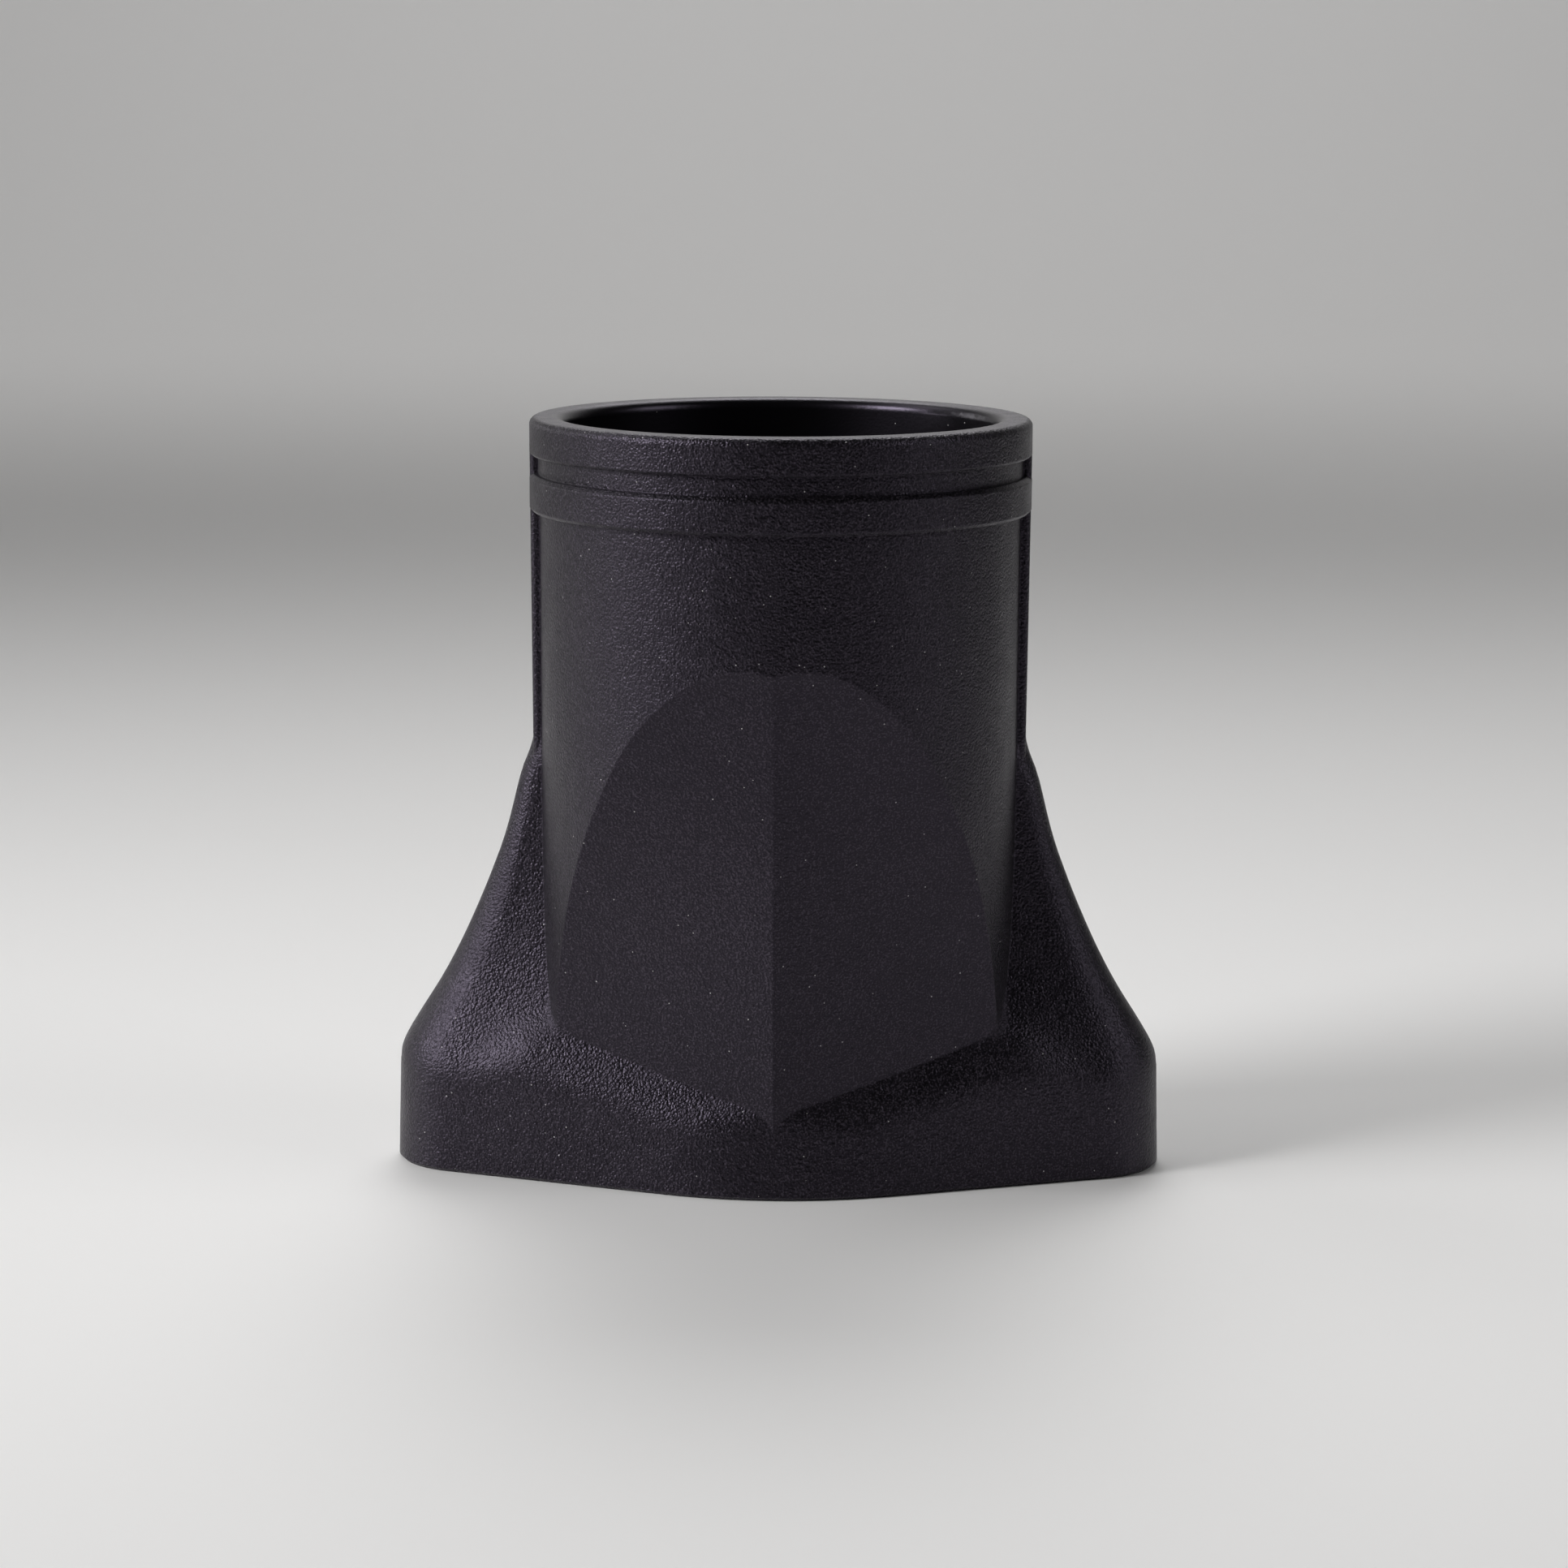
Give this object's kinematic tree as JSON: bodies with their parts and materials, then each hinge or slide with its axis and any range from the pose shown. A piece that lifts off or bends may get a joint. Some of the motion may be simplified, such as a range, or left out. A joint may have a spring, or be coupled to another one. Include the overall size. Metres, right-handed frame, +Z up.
{
  "type": "hair dryer concentrator nozzle",
  "caption": "Push-on hair dryer nozzle in black textured plastic: a round socket collar and faceted barrel that narrow and spread into a wide lozenge-shaped outlet slot.",
  "frame": {"origin": "centre of the outlet face, which stands on the table", "axes": "+Z up the socket axis towards the socket mouth, +X along the outlet slot, +Y across it towards the back"},
  "size_m": [0.072, 0.0464, 0.0705],
  "materials": {
    "black_plastic": "fine spark-eroded mould texture, matte, slightly smoother on the socket rim"
  },
  "bodies": {
    "root": {"nozzle_body": "black_plastic"}
  },
  "joints": []
}
